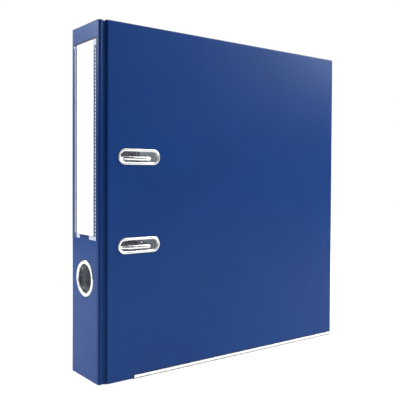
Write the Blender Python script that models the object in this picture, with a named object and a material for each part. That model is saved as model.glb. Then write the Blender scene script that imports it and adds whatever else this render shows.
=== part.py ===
"""A4 lever arch file for two-hole filing, standing upright on its metal edge strips.

Lengths are in millimetres in "file coordinates" and become metres when a mesh is made:
x runs from the spine's outer face to the fore edge, y from the front cover's outer face
to the back cover's outer face, and z up from the surface that the file stands on.
The scene's origin is below the middle of the whole file, at floor level.
"""

import math

import bmesh
import bpy
from mathutils import Vector

MM = 0.001

# Covers and spine
HEIGHT = 320.0
DEPTH = 300.0
THICKNESS = 54.0
PANEL = 2.8
FOIL = 0.4
BOARD_FROM = 0.5
BOARD_TO = 2.3
LINING_FROM = 2.4
TURN_IN = 14.0
WINDOW_GAP = 0.3
COVER_START = 8.2
SPINE_EDGE = 4.0
FOOT = 0.45

# Hinges: the covers turn about the outer corners of the spine
HINGE_AXIS = 0.85
HINGE_FOIL = 0.8

# Metal strips round the covers' bottom edges
STRIP_SHEET = 0.35
STRIP_START = 35.0
STRIP_END = 299.0
STRIP_FLANGE = 3.6

# Two-hole filing: the arches stand 80 mm apart
HOLE_SPACING = 80.0
ARCH_Z = 159.9
SLOT_Z = 161.4

# Slots in the front cover
SLOT_CENTRE_X = 40.75
SLOT_HALF_STRAIGHT = 14.55
SLOT_RADIUS = 4.7
SLOT_CUT = 5.4

# Finger hole in the spine
SPINE_MIDDLE_Y = 27.0
RING_Z = 91.4
RING_CUT = 13.75
RING_PROUD = 0.95

# Label pocket on the spine
POCKET_BOTTOM = 127.0
POCKET_TOP = 303.5
NOTCH_DEPTH = 3.6
CARD_LOW = 131.7
CARD_HIGH = 302.4

# Lever arch mechanism; "rise" is the height above the back cover's lining
LINING_Y = THICKNESS - PANEL
PLATE_X = (13.0, 71.0)
PLATE_Z = (75.9, 243.9)
PLATE_TOP = 1.1
WIRE_RADIUS = 1.9
AXIS_X = 21.5
AXIS_RISE = 4.6
CRANK_X = 30.5
CRANK_Z = (134.0, 156.0)
POST_X = 53.5
POST_RADIUS = 2.25
POST_RISE = 34.2
BAR_Y = 0.4
TIP_Y = 16.7
LEVER_Z = 141.5
LEVER_RISE = 15.88
ROLLER_Z = 146.64
ROLLER_RISE = 9.75
ROLLER_RADIUS = 3.0
RIVETS = ((21.0, 84.0), (63.0, 84.0), (21.0, 235.8), (63.0, 235.8))
RIVET_PROUD = 0.9

CENTRE_X = (DEPTH - RING_PROUD) / 2
CENTRE_Y = (THICKNESS + RIVET_PROUD + BAR_Y - WIRE_RADIUS) / 2

BODIES = {}


def scene_point(x, y, z):
    """File coordinates in millimetres as a scene position in metres."""
    return Vector((x - CENTRE_X, y - CENTRE_Y, z)) * MM


def rise(height):
    """The y of a point at this height above the back cover's lining."""
    return LINING_Y - height


def clear_scene():
    for item in list(bpy.data.objects):
        bpy.data.objects.remove(item, do_unlink=True)


def make_material(name, colour, roughness, metallic=0.0, alpha=1.0):
    material = bpy.data.materials.new(name)
    material.use_nodes = True
    shader = material.node_tree.nodes["Principled BSDF"]
    shader.inputs["Base Color"].default_value = (*colour, 1.0)
    shader.inputs["Roughness"].default_value = roughness
    shader.inputs["Metallic"].default_value = metallic
    shader.inputs["Alpha"].default_value = alpha
    return material


def make_body(name, at, parent=None):
    """An empty on a joint's axis, which carries the pieces that move together."""
    empty = bpy.data.objects.new(name, None)
    empty.empty_display_size = 0.01
    bpy.context.collection.objects.link(empty)
    BODIES[name] = Vector(at)
    attach(empty, at, parent)
    return name


def attach(item, at, body):
    """Sets an object at file coordinates, under its body's empty."""
    if body is None:
        item.location = scene_point(*at)
        return
    item.parent = bpy.data.objects[body]
    item.location = (Vector(at) - BODIES[body]) * MM


def finish_mesh(name, bm, at, body, material):
    """Closes a bmesh built in file coordinates into an object whose origin is at a point."""
    bmesh.ops.remove_doubles(bm, verts=bm.verts, dist=0.0005)
    bmesh.ops.recalc_face_normals(bm, faces=bm.faces)
    bmesh.ops.translate(bm, verts=bm.verts, vec=-Vector(at))
    bmesh.ops.scale(bm, verts=bm.verts, vec=(MM, MM, MM))
    mesh = bpy.data.meshes.new(name)
    bm.to_mesh(mesh)
    bm.free()
    item = bpy.data.objects.new(name, mesh)
    bpy.context.collection.objects.link(item)
    attach(item, at, body)
    if material:
        mesh.materials.append(material)
    return item


def smooth(item, angle=40.0):
    item.data.shade_smooth()
    item.data.set_sharp_from_angle(angle=math.radians(angle))


def middle(low, high):
    return tuple((a + b) / 2 for a, b in zip(low, high))


def block(name, low, high, body, material, bevel=0.0):
    """A rectangular block between two corners."""
    bm = bmesh.new()
    bmesh.ops.create_cube(bm, size=1.0)
    size = [b - a for a, b in zip(low, high)]
    bmesh.ops.scale(bm, verts=bm.verts, vec=size)
    bmesh.ops.translate(bm, verts=bm.verts, vec=middle(low, high))
    item = finish_mesh(name, bm, middle(low, high), body, material)
    if bevel:
        add_bevel(item, bevel)
    return item


def add_bevel(item, width, segments=2):
    bevel = item.modifiers.new("edge_round", "BEVEL")
    bevel.width = width * MM
    bevel.segments = segments
    bevel.limit_method = "ANGLE"
    bevel.angle_limit = math.radians(50)


def oriented(axis, a, b, along):
    """A point from two coordinates across an axis and one along it."""
    if axis == "X":
        return Vector((along, a, b))
    if axis == "Y":
        return Vector((a, along, b))
    return Vector((a, b, along))


def prism(name, outline, axis, start, end, body, material):
    """A closed outline, given across an axis, drawn out from start to end along it."""
    bm = bmesh.new()
    face = bm.faces.new([bm.verts.new(oriented(axis, a, b, start)) for a, b in outline])
    drawn = bmesh.ops.extrude_face_region(bm, geom=[face])
    moved = [v for v in drawn["geom"] if isinstance(v, bmesh.types.BMVert)]
    bmesh.ops.translate(bm, verts=moved, vec=oriented(axis, 0.0, 0.0, end - start))
    centre = oriented(
        axis,
        sum(a for a, b in outline) / len(outline),
        sum(b for a, b in outline) / len(outline),
        (start + end) / 2,
    )
    return finish_mesh(name, bm, centre, body, material)


def ribbon(path, thickness):
    """The outline of a strip of even thickness that follows a path to its left and right."""
    left = []
    right = []
    for i, point in enumerate(path):
        before = Vector(path[max(i - 1, 0)])
        after = Vector(path[min(i + 1, len(path) - 1)])
        here = Vector(point)
        into = (here - before).normalized() if i else (after - here).normalized()
        out = (after - here).normalized() if i < len(path) - 1 else into
        normal = Vector((-(into + out).y, (into + out).x)).normalized()
        stretch = 1.0 / max(normal.dot(Vector((-into.y, into.x))), 0.3)
        left.append(here + normal * thickness / 2 * stretch)
        right.append(here - normal * thickness / 2 * stretch)
    return [tuple(p) for p in left + right[::-1]]


def rounded_rectangle(a_range, b_range, radius, steps=5):
    """The outline of a rectangle with round corners."""
    outline = []
    corners = (
        (a_range[1] - radius, b_range[1] - radius, 0),
        (a_range[0] + radius, b_range[1] - radius, 90),
        (a_range[0] + radius, b_range[0] + radius, 180),
        (a_range[1] - radius, b_range[0] + radius, 270),
    )
    for a, b, first in corners:
        for i in range(steps + 1):
            angle = math.radians(first + 90 * i / steps)
            outline.append((a + radius * math.cos(angle), b + radius * math.sin(angle)))
    return outline


def stadium(radius, half_straight, steps=12):
    """Points round a slot with semicircular ends, as (along, across)."""
    points = []
    for sign, first in ((1, -90), (-1, 90)):
        for i in range(steps + 1):
            angle = math.radians(first + 180 * i / steps)
            points.append((sign * half_straight + radius * math.cos(angle), radius * math.sin(angle)))
    return points


def collar(name, profile, axis, centre, half_straight, body, material, steps=12):
    """A ring, round or slot-shaped, from a closed profile of (radius, position along the axis)."""
    bm = bmesh.new()
    rings = []
    for radius, along in profile:
        around = stadium(radius, half_straight, steps)
        if half_straight == 0.0:
            around = [p for i, p in enumerate(around) if i not in (steps, 2 * steps + 1)]
        rings.append([
            bm.verts.new(oriented(axis, centre[0] + a, centre[1] + b, along)) for a, b in around
        ])
    count = len(rings[0])
    for i, ring in enumerate(rings):
        following = rings[(i + 1) % len(rings)]
        for j in range(count):
            k = (j + 1) % count
            bm.faces.new((ring[j], ring[k], following[k], following[j]))
    origin = oriented(axis, *centre, profile[0][1])
    item = finish_mesh(name, bm, origin, body, material)
    smooth(item)
    return item


def turned(name, profile, axis, centre, body, material, steps=20):
    """A solid of revolution; its profile of (radius, along) starts and ends on the axis."""
    bm = bmesh.new()
    verts = [bm.verts.new(oriented(axis, radius, 0.0, along)) for radius, along in profile]
    edges = [bm.edges.new(pair) for pair in zip(verts, verts[1:])]
    spin_axis = oriented(axis, 0.0, 0.0, 1.0)
    bmesh.ops.spin(
        bm, geom=verts + edges, cent=(0, 0, 0), axis=spin_axis, angle=math.tau, steps=steps
    )
    shift = oriented(axis, centre[0], centre[1], 0.0)
    bmesh.ops.translate(bm, verts=bm.verts, vec=shift)
    origin = oriented(axis, *centre, profile[0][1])
    item = finish_mesh(name, bm, origin, body, material)
    smooth(item)
    return item


def filleted(corners, steps=6):
    """A path through corners given as (point, bend radius), with an arc at each bend."""
    path = [Vector(corners[0][0])]
    for i in range(1, len(corners) - 1):
        before = Vector(corners[i - 1][0])
        here = Vector(corners[i][0])
        after = Vector(corners[i + 1][0])
        radius = corners[i][1]
        into = (here - before).normalized()
        out = (after - here).normalized()
        turn = into.angle(out)
        start = here - into * radius * math.tan(turn / 2)
        inward = (out - into * into.dot(out)).normalized()
        centre = start + inward * radius
        for j in range(steps + 1):
            angle = turn * j / steps
            path.append(centre - inward * radius * math.cos(angle) + into * radius * math.sin(angle))
    path.append(Vector(corners[-1][0]))
    return path


def wire(name, path, radius, at, body, material, resolution=3):
    """A round rod along a path, with flat ends."""
    curve = bpy.data.curves.new(name, "CURVE")
    curve.dimensions = "3D"
    curve.bevel_depth = radius * MM
    curve.bevel_resolution = resolution
    curve.use_fill_caps = True
    spline = curve.splines.new("POLY")
    spline.points.add(len(path) - 1)
    for point, place in zip(spline.points, path):
        point.co = (*((place - Vector(at)) * MM), 1.0)
    spline.use_smooth = True
    item = bpy.data.objects.new(name, curve)
    bpy.context.collection.objects.link(item)
    attach(item, at, body)
    curve.materials.append(material)
    return item


def as_cutter(item):
    item.hide_render = True
    item.display_type = "WIRE"
    return item


def combine(target, tool, operation="DIFFERENCE"):
    boolean = target.modifiers.new(tool.name, "BOOLEAN")
    boolean.operation = operation
    boolean.solver = "EXACT"
    boolean.object = tool


def slot_cutter(name, body, y_range):
    """Two slot-shaped cutters in one mesh, one for each arch."""
    bm = bmesh.new()
    for side in (-1, 1):
        z = SLOT_Z + side * HOLE_SPACING / 2
        outline = stadium(SLOT_CUT, SLOT_HALF_STRAIGHT)
        face = bm.faces.new([bm.verts.new((SLOT_CENTRE_X + a, y_range[0], z + b)) for a, b in outline])
        drawn = bmesh.ops.extrude_face_region(bm, geom=[face])
        moved = [v for v in drawn["geom"] if isinstance(v, bmesh.types.BMVert)]
        bmesh.ops.translate(bm, verts=moved, vec=(0.0, y_range[1] - y_range[0], 0.0))
    return as_cutter(finish_mesh(name, bm, (SLOT_CENTRE_X, y_range[0], SLOT_Z), body, None))


def round_cutter(name, places, radius, axis, along, body, steps=24):
    """Parallel round cutters in one mesh."""
    bm = bmesh.new()
    for centre in places:
        ring = []
        for i in range(steps):
            angle = math.tau * i / steps
            a = centre[0] + radius * math.cos(angle)
            b = centre[1] + radius * math.sin(angle)
            ring.append(bm.verts.new(oriented(axis, a, b, along[0])))
        drawn = bmesh.ops.extrude_face_region(bm, geom=[bm.faces.new(ring)])
        moved = [v for v in drawn["geom"] if isinstance(v, bmesh.types.BMVert)]
        bmesh.ops.translate(bm, verts=moved, vec=oriented(axis, 0.0, 0.0, along[1] - along[0]))
    return as_cutter(finish_mesh(name, bm, oriented(axis, *places[0], along[0]), body, None))


def front_panel(along, deep, z):
    """Front cover: distance from the spine, depth under the outer face, height."""
    return along, deep, z


def back_panel(along, deep, z):
    return along, THICKNESS - deep, z


def spine_panel(along, deep, z):
    return deep, along, z


def spanned(panel, low, high):
    """The corners, in file coordinates, of a block given in a panel's own coordinates."""
    a = panel(*low)
    b = panel(*high)
    return tuple(map(min, a, b)), tuple(map(max, a, b))


def laminated_panel(prefix, panel, start, end, free_edge, body, materials):
    """Board between an outer foil, turned in round the free edges, and an inner lining."""
    foil_colour, board_colour, lining_colour = materials
    top = HEIGHT
    wrap = FOIL + 0.1
    open_start = start - 5.0
    inner_end = end - wrap if free_edge else end + 5.0
    board_end = end - wrap if free_edge else end
    window_end = end - TURN_IN if free_edge else end + 5.0
    lining_end = end - TURN_IN - WINDOW_GAP if free_edge else end
    board = block(
        f"{prefix}_board",
        *spanned(panel, (start, BOARD_FROM, FOOT + wrap), (board_end, BOARD_TO, top - wrap)),
        body,
        board_colour,
    )
    foil = block(
        f"{prefix}_outer_foil",
        *spanned(panel, (start, 0.0, FOOT), (end, PANEL, top)),
        body,
        foil_colour,
    )
    room = block(
        f"{prefix}_board_room",
        *spanned(
            panel,
            (open_start, FOIL, FOOT + FOIL),
            (inner_end + 0.1 if free_edge else inner_end, LINING_FROM, top - FOIL),
        ),
        body,
        None,
    )
    window = block(
        f"{prefix}_window",
        *spanned(
            panel,
            (open_start, BOARD_TO - 0.5, FOOT + TURN_IN),
            (window_end, PANEL + 1.0, top - TURN_IN),
        ),
        body,
        None,
    )
    combine(foil, as_cutter(room))
    combine(foil, as_cutter(window))
    lining = block(
        f"{prefix}_inner_lining",
        *spanned(
            panel,
            (start, LINING_FROM, FOOT + TURN_IN + WINDOW_GAP),
            (lining_end, PANEL, top - TURN_IN - WINDOW_GAP),
        ),
        body,
        lining_colour,
    )
    return board, foil, lining


def hinge_outline():
    """Front hinge foil in (x, y): round the spine's corner, over a ridge and into the groove."""
    radius = SPINE_EDGE - HINGE_FOIL / 2
    path = []
    for i in range(7):
        angle = math.radians(2 + 68 * i / 6)
        path.append((SPINE_EDGE - radius * math.cos(angle), SPINE_EDGE - radius * math.sin(angle)))
    path += [(3.6, 0.62), (4.3, 0.95), (5.0, 1.5), (6.0, 1.7), (7.2, 1.7), (COVER_START - 0.15, 1.55)]
    return ribbon(path, HINGE_FOIL)


def hinge_strip(name, flip, body, material):
    outline = [(x, THICKNESS - y if flip else y) for x, y in hinge_outline()]
    item = prism(name, outline, "Z", FOOT, HEIGHT, body, material)
    smooth(item, 60)
    return item


def edge_strip(name, panel, body, material):
    """A metal U pressed over a cover's bottom edge."""
    half = STRIP_SHEET / 2
    near = -0.1 - half
    far = PANEL + 0.1 + half
    path = [(near, STRIP_FLANGE), (near, 0.45), (near + 0.27, half), (far - 0.27, half), (far, 0.45)]
    path.append((far, STRIP_FLANGE))
    outline = [(panel(0.0, deep, z)[1], z) for deep, z in ribbon(path, STRIP_SHEET)]
    return prism(name, outline, "X", STRIP_START, STRIP_END, body, material)


def slot_eyelet(name, z, body, material):
    """Slot liner: a flange on the outside, a barrel through the cover and a curl inside."""
    inside = SLOT_RADIUS
    profile = [
        (inside, 0.35), (4.85, -0.1), (5.3, -0.45), (6.2, -0.65), (7.0, -0.6), (7.5, -0.35),
        (7.65, -0.12), (5.5, -0.12), (5.15, 0.25), (5.15, 2.92), (6.3, 2.92), (6.45, 3.25),
        (6.0, 3.55), (5.2, 3.6), (inside + 0.05, 3.4),
    ]
    return collar(name, profile, "Y", (SLOT_CENTRE_X, z), SLOT_HALF_STRAIGHT, body, material)


def finger_ring(body, material):
    """Finger hole liner in the spine, and the washer that holds it on the inside."""
    profile = [
        (13.0, 0.5), (13.2, -0.2), (13.8, -0.7), (14.8, -RING_PROUD), (15.8, -0.7), (16.4, -0.12),
        (13.5, -0.12), (13.5, 3.95), (13.0, 3.95),
    ]
    centre = (SPINE_MIDDLE_Y, RING_Z)
    collar("finger_ring", profile, "X", centre, 0.0, body, material, steps=18)
    washer = [(13.7, 3.0), (16.3, 3.0), (16.3, 3.3), (15.2, 3.75), (14.2, 3.75), (13.7, 3.3)]
    collar("finger_ring_washer", washer, "X", centre, 0.0, body, material, steps=18)


def label_pocket(body, material):
    """Clear film welded down both sides and the bottom, open at the top, with a thumb notch."""
    low = (-0.4, SPINE_EDGE, POCKET_BOTTOM)
    high = (-0.1, THICKNESS - SPINE_EDGE, POCKET_TOP)
    pocket = block("label_pocket", low, high, body, material)
    raised = block(
        "pocket_raised", (-0.85, 8.6, POCKET_BOTTOM + 3.9), (-0.15, 45.5, POCKET_TOP), body, None
    )
    room = block(
        "pocket_room", (-0.55, 9.1, POCKET_BOTTOM + 4.3), (0.2, 45.0, POCKET_TOP + 2.0), body, None
    )
    half_top = 8.0
    half_bottom = 9.6
    notch_outline = [
        (SPINE_MIDDLE_Y - half_bottom, POCKET_BOTTOM - 1.0),
        (SPINE_MIDDLE_Y + half_bottom, POCKET_BOTTOM - 1.0),
        (SPINE_MIDDLE_Y + half_top, POCKET_BOTTOM + NOTCH_DEPTH),
        (SPINE_MIDDLE_Y - half_top, POCKET_BOTTOM + NOTCH_DEPTH),
    ]
    notch = prism("pocket_notch", notch_outline, "X", -2.0, 1.0, body, None)
    combine(pocket, as_cutter(raised), "UNION")
    combine(pocket, as_cutter(room))
    combine(pocket, as_cutter(notch))
    return pocket


def arch_wire(body, material):
    """Both arches and the crank between them, bent from one steel wire."""
    axis_y = rise(AXIS_RISE)
    low = ARCH_Z - HOLE_SPACING / 2
    high = ARCH_Z + HOLE_SPACING / 2
    corners = [
        ((POST_X, TIP_Y, low), 0.0),
        ((POST_X, BAR_Y, low), 4.5),
        ((AXIS_X, BAR_Y, low), 12.0),
        ((AXIS_X, axis_y, low), 5.0),
        ((AXIS_X, axis_y, CRANK_Z[0]), 3.5),
        ((CRANK_X, axis_y, CRANK_Z[0]), 3.5),
        ((CRANK_X, axis_y, CRANK_Z[1]), 3.5),
        ((AXIS_X, axis_y, CRANK_Z[1]), 3.5),
        ((AXIS_X, axis_y, high), 5.0),
        ((AXIS_X, BAR_Y, high), 12.0),
        ((POST_X, BAR_Y, high), 4.5),
        ((POST_X, TIP_Y, high), 0.0),
    ]
    return wire("arch_wire", filleted(corners), WIRE_RADIUS, BODIES[body], body, material)


def post(name, z, body, material):
    """A straight post with a collar on the plate and a shallow dish for the arch's tip."""
    profile = [
        (0.0, rise(0.15)), (POST_RADIUS, rise(0.15)), (POST_RADIUS, rise(PLATE_TOP + 0.1)),
        (3.6, rise(PLATE_TOP + 0.1)), (3.6, rise(2.4)), (POST_RADIUS, rise(2.9)),
        (POST_RADIUS, rise(POST_RISE - 0.3)), (1.95, rise(POST_RISE)), (1.1, rise(POST_RISE - 0.7)),
        (0.0, rise(POST_RISE - 1.0)),
    ]
    return turned(name, profile, "Y", (POST_X, z), body, material)


def mechanism_rivet(name, x, z, body, material):
    """A rivet through the base plate and the back cover, with a head on each side."""
    profile = [
        (0.0, rise(2.1)), (1.8, rise(2.0)), (3.2, rise(1.6)), (3.5, rise(PLATE_TOP + 0.1)),
        (1.8, rise(PLATE_TOP + 0.1)), (1.8, THICKNESS + 0.12), (4.2, THICKNESS + 0.12),
        (3.6, THICKNESS + 0.6), (2.0, THICKNESS + RIVET_PROUD), (0.0, THICKNESS + RIVET_PROUD),
    ]
    return turned(name, profile, "Y", (x, z), body, material, steps=16)


def bearing_clip(name, z, body, material):
    """A strap over the arch wire, with a foot on the plate at either side."""
    radius = WIRE_RADIUS + 0.25 + 0.5
    foot = PLATE_TOP + 0.1 + 0.5
    path = [(AXIS_X - radius - 4.0, foot), (AXIS_X - radius, foot)]
    for i in range(9):
        angle = math.radians(180 - 180 * i / 8)
        path.append((AXIS_X + radius * math.cos(angle), AXIS_RISE + radius * math.sin(angle)))
    path += [(AXIS_X + radius, foot), (AXIS_X + radius + 4.0, foot)]
    outline = [(x, rise(h)) for x, h in ribbon(path, 1.0)]
    item = prism(name, outline, "Z", z - 2.4, z + 2.4, body, material)
    smooth(item)
    return item


def base_plate(body, material, rivet_holes):
    """The mechanism's plate, with holes for its posts and rivets."""
    plate = prism(
        "base_plate", rounded_rectangle(PLATE_X, PLATE_Z, 8.0), "Y", rise(PLATE_TOP), rise(0.1),
        body, material,
    )
    places = [(POST_X, ARCH_Z + side * HOLE_SPACING / 2) for side in (-1, 1)]
    post_holes = round_cutter("post_holes", places, POST_RADIUS + 0.12, "Y", (rise(3), rise(-3)), body)
    combine(plate, post_holes)
    combine(plate, rivet_holes)
    return plate


def lever_bracket(body, material):
    """A U-shaped bracket whose two ears carry the lever's pin."""
    path = [(23.9, 19.4), (23.9, PLATE_TOP + 0.6), (37.1, PLATE_TOP + 0.6), (37.1, 19.4)]
    outline = [(x, rise(h)) for x, h in ribbon(path, 1.0)]
    bracket = prism("lever_bracket", outline, "Z", 137.2, 145.8, body, material)
    pin_holes = round_cutter(
        "bracket_pin_hole", [(rise(LEVER_RISE), LEVER_Z)], 1.65, "X", (20.0, 41.0), body
    )
    combine(bracket, pin_holes)
    return bracket


def lever_pivot_pin(body, material):
    profile = [
        (0.0, 22.4), (1.9, 22.4), (2.4, 22.7), (2.4, 23.25), (1.5, 23.25), (1.5, 37.75),
        (2.4, 37.75), (2.4, 38.3), (1.9, 38.6), (0.0, 38.6),
    ]
    return turned(
        "lever_pivot_pin", profile, "X", (rise(LEVER_RISE), LEVER_Z), body, material, steps=16
    )


def opening_spring(body, material):
    """A coil round the arch wire's axis that pushes the arches open."""
    radius = 2.75
    turns = 4
    path = [Vector((14.6, rise(AXIS_RISE - radius), 170.0))]
    for i in range(turns * 14 + 8):
        angle = -math.pi / 2 + math.tau * i / 14
        z = 170.0 + 1.15 * i / 14
        x = AXIS_X + radius * math.cos(angle)
        path.append(Vector((x, rise(AXIS_RISE + radius * math.sin(angle)), z)))
    last = path[-1]
    path.append(Vector((17.6, last.y + 0.3, last.z)))
    path.append(Vector((14.2, rise(2.2), last.z)))
    at = (AXIS_X, rise(AXIS_RISE), 172.0)
    return wire("opening_spring", path, 0.45, at, body, material, resolution=1)


def lever_arm(body, material):
    """The lever: a channel with two cheeks, a thumb plate and the roller's lobe."""
    x_range = (25.0, 36.0)

    def at_pivot(points):
        return [(rise(LEVER_RISE + h), LEVER_Z + z) for z, h in points]

    sides = [
        (-4.2, 1.0), (-3.0, 5.0), (40.0, 5.0), (40.0, 3.0), (14.0, -1.5), (9.2, -5.2),
        (8.2, -7.8), (5.6, -9.3), (2.8, -8.2), (0.0, -4.6), (-3.4, -2.6),
    ]
    lever = prism("lever_arm", at_pivot(sides), "X", *x_range, body, material)
    hollow = [(-8.0, 4.0), (44.0, 4.0), (44.0, -14.0), (-8.0, -14.0)]
    channel = prism("lever_channel", at_pivot(hollow), "X", 26.0, 35.0, body, None)
    thumb_path = [(36.0, 4.5), (45.0, 4.5), (48.0, 5.2), (49.8, 7.0)]
    thumb = prism(
        "lever_thumb_plate", at_pivot(ribbon(thumb_path, 0.9)), "X", 21.5, 39.5, body, None
    )
    pin_hole = round_cutter(
        "lever_pin_hole", [(rise(LEVER_RISE), LEVER_Z)], 1.8, "X", (20.0, 41.0), body
    )
    axle_hole = round_cutter(
        "lever_axle_hole", [(rise(ROLLER_RISE), ROLLER_Z)], 1.25, "X", (20.0, 41.0), body
    )
    combine(lever, as_cutter(channel))
    combine(lever, as_cutter(thumb), "UNION")
    combine(lever, pin_hole)
    combine(lever, axle_hole)
    return lever


def cam_roller(body, material):
    profile = [
        (1.3, 26.8), (2.7, 26.8), (ROLLER_RADIUS, 27.1), (ROLLER_RADIUS, 33.9), (2.7, 34.2), (1.3, 34.2),
    ]
    centre = (rise(ROLLER_RISE), ROLLER_Z)
    return collar("cam_roller", profile, "X", centre, 0.0, body, material, steps=12)


def compressor(body, metals):
    """The bar that slides on the posts, with its spring latch and the rivet that holds it."""
    nickel, steel = metals
    x_range = (POST_X - 7.0, POST_X + 7.0)
    z_range = (107.0, 213.0)
    bar = prism(
        "compressor_bar", rounded_rectangle(x_range, z_range, 5.0), "Y", rise(14.0), rise(10.5),
        body, nickel,
    )
    under = rounded_rectangle(
        (x_range[0] + 1.0, x_range[1] - 1.0), (z_range[0] + 1.0, z_range[1] - 1.0), 4.0
    )
    hollow = prism("compressor_hollow", under, "Y", rise(13.0), rise(9.0), body, None)
    combine(bar, as_cutter(hollow))
    places = [(POST_X, ARCH_Z + side * HOLE_SPACING / 2) for side in (-1, 1)]
    holes = round_cutter(
        "compressor_post_holes", places, POST_RADIUS + 0.5, "Y", (rise(25), rise(5)), body
    )
    combine(bar, holes)
    latch_path = [(187.0, 14.5), (214.5, 14.5), (218.0, 16.0), (219.4, 19.6)]
    outline = [(rise(h), z) for z, h in ribbon(latch_path, 0.7)]
    latch = prism("compressor_latch", outline, "X", POST_X - 4.8, POST_X + 4.8, body, steel)
    combine(latch, holes)
    rivet_holes = round_cutter(
        "latch_rivet_hole", [(POST_X, 191.0)], 1.25, "Y", (rise(25), rise(5)), body, steps=16
    )
    combine(bar, rivet_holes)
    combine(latch, rivet_holes)
    rivet = [
        (0.0, rise(15.8)), (1.3, rise(15.7)), (2.2, rise(15.0)), (1.1, rise(15.0)),
        (1.1, rise(12.85)), (2.2, rise(12.85)), (1.6, rise(12.2)), (0.0, rise(12.2)),
    ]
    turned("latch_rivet", rivet, "Y", (POST_X, 191.0), body, steel, steps=14)


def build_materials():
    return {
        "foil_blue": make_material("foil_blue", (0.020, 0.065, 0.215), 0.42),
        "board_grey": make_material("board_grey", (0.30, 0.28, 0.25), 0.9),
        "lining_paper": make_material("lining_paper", (0.72, 0.72, 0.70), 0.85),
        "nickel": make_material("nickel", (0.78, 0.77, 0.75), 0.18, 1.0),
        "chrome": make_material("chrome", (0.80, 0.80, 0.81), 0.08, 1.0),
        "bright_steel": make_material("bright_steel", (0.66, 0.66, 0.66), 0.3, 1.0),
        "clear_film": make_material("clear_film", (0.80, 0.85, 0.90), 0.1, 0.0, 0.35),
        "label_white": make_material("label_white", (0.88, 0.88, 0.88), 0.7),
    }


def build_back_cover(looks):
    body = make_body("back_cover_body", (DEPTH / 2, THICKNESS, 0.0))
    rivet_holes = round_cutter(
        "rivet_holes", RIVETS, 2.0, "Y", (rise(5.0), THICKNESS + 3.0), body, steps=16
    )
    layers = (looks["foil_blue"], looks["board_grey"], looks["lining_paper"])
    for layer in laminated_panel("back", back_panel, COVER_START, DEPTH, True, body, layers):
        combine(layer, rivet_holes)
    edge_strip("back_edge_protector", back_panel, body, looks["nickel"])
    base_plate(body, looks["nickel"], rivet_holes)
    post("lower_post", ARCH_Z - HOLE_SPACING / 2, body, looks["nickel"])
    post("upper_post", ARCH_Z + HOLE_SPACING / 2, body, looks["nickel"])
    for i, (x, z) in enumerate(RIVETS, start=1):
        mechanism_rivet(f"mechanism_rivet_{i}", x, z, body, looks["nickel"])
    bearing_clip("lower_bearing_clip", 127.7, body, looks["nickel"])
    bearing_clip("middle_bearing_clip", 163.0, body, looks["nickel"])
    bearing_clip("upper_bearing_clip", 187.0, body, looks["nickel"])
    lever_bracket(body, looks["nickel"])
    lever_pivot_pin(body, looks["bright_steel"])
    opening_spring(body, looks["bright_steel"])
    return body


def build_mechanism(parent, looks):
    arches = make_body("arches_body", (AXIS_X, rise(AXIS_RISE), ARCH_Z), parent)
    arch_wire(arches, looks["nickel"])
    lever = make_body("lever_body", (30.5, rise(LEVER_RISE), LEVER_Z), parent)
    lever_arm(lever, looks["nickel"])
    axle = [(0.0, 25.05), (1.1, 25.05), (1.1, 35.95), (0.0, 35.95)]
    turned(
        "roller_axle", axle, "X", (rise(ROLLER_RISE), ROLLER_Z), lever, looks["bright_steel"], steps=14
    )
    roller = make_body("roller_body", (30.5, rise(ROLLER_RISE), ROLLER_Z), lever)
    cam_roller(roller, looks["bright_steel"])
    slider = make_body("compressor_body", (POST_X, rise(14.0), ARCH_Z), parent)
    compressor(slider, (looks["nickel"], looks["bright_steel"]))


def build_spine(parent, looks):
    body = make_body("spine_body", (HINGE_AXIS, THICKNESS - HINGE_AXIS, 0.0), parent)
    layers = (looks["foil_blue"], looks["board_grey"], looks["lining_paper"])
    hole = round_cutter(
        "finger_hole_cutter", [(SPINE_MIDDLE_Y, RING_Z)], RING_CUT, "X", (-2.0, 5.0), body, steps=36
    )
    edges = (SPINE_EDGE, THICKNESS - SPINE_EDGE)
    for layer in laminated_panel("spine", spine_panel, *edges, False, body, layers):
        combine(layer, hole)
    finger_ring(body, looks["nickel"])
    label_pocket(body, looks["clear_film"])
    hinge_strip("front_hinge_strip", False, body, looks["foil_blue"])
    hinge_strip("back_hinge_strip", True, body, looks["foil_blue"])
    label = make_body("label_body", (-0.3, SPINE_MIDDLE_Y, CARD_LOW), body)
    block("label_card", (-0.45, 9.6, CARD_LOW), (-0.12, 44.5, CARD_HIGH), label, looks["label_white"])
    return body


def build_front_cover(parent, looks):
    body = make_body("front_cover_body", (HINGE_AXIS, HINGE_AXIS, 0.0), parent)
    layers = (looks["foil_blue"], looks["board_grey"], looks["lining_paper"])
    slots = slot_cutter("slot_cutter", body, (-2.0, 5.0))
    for layer in laminated_panel("front", front_panel, COVER_START, DEPTH, True, body, layers):
        combine(layer, slots)
    edge_strip("front_edge_protector", front_panel, body, looks["nickel"])
    slot_eyelet("lower_slot_eyelet", SLOT_Z - HOLE_SPACING / 2, body, looks["nickel"])
    slot_eyelet("upper_slot_eyelet", SLOT_Z + HOLE_SPACING / 2, body, looks["nickel"])


def main():
    clear_scene()
    looks = build_materials()
    back = build_back_cover(looks)
    build_mechanism(back, looks)
    spine = build_spine(back, looks)
    build_front_cover(spine, looks)


main()
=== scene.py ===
"""Looks of the lever arch file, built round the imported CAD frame.

Lengths here are millimetres in "file coordinates": x runs from the spine's outer face to the
fore edge, y from the front cover's outer face to the back cover's, z up from the floor.
Every mesh is turned into metres in the frame's own coordinates when it is made.
"""

import math

import bmesh
import bpy
from mathutils import Matrix, Vector, noise


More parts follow.
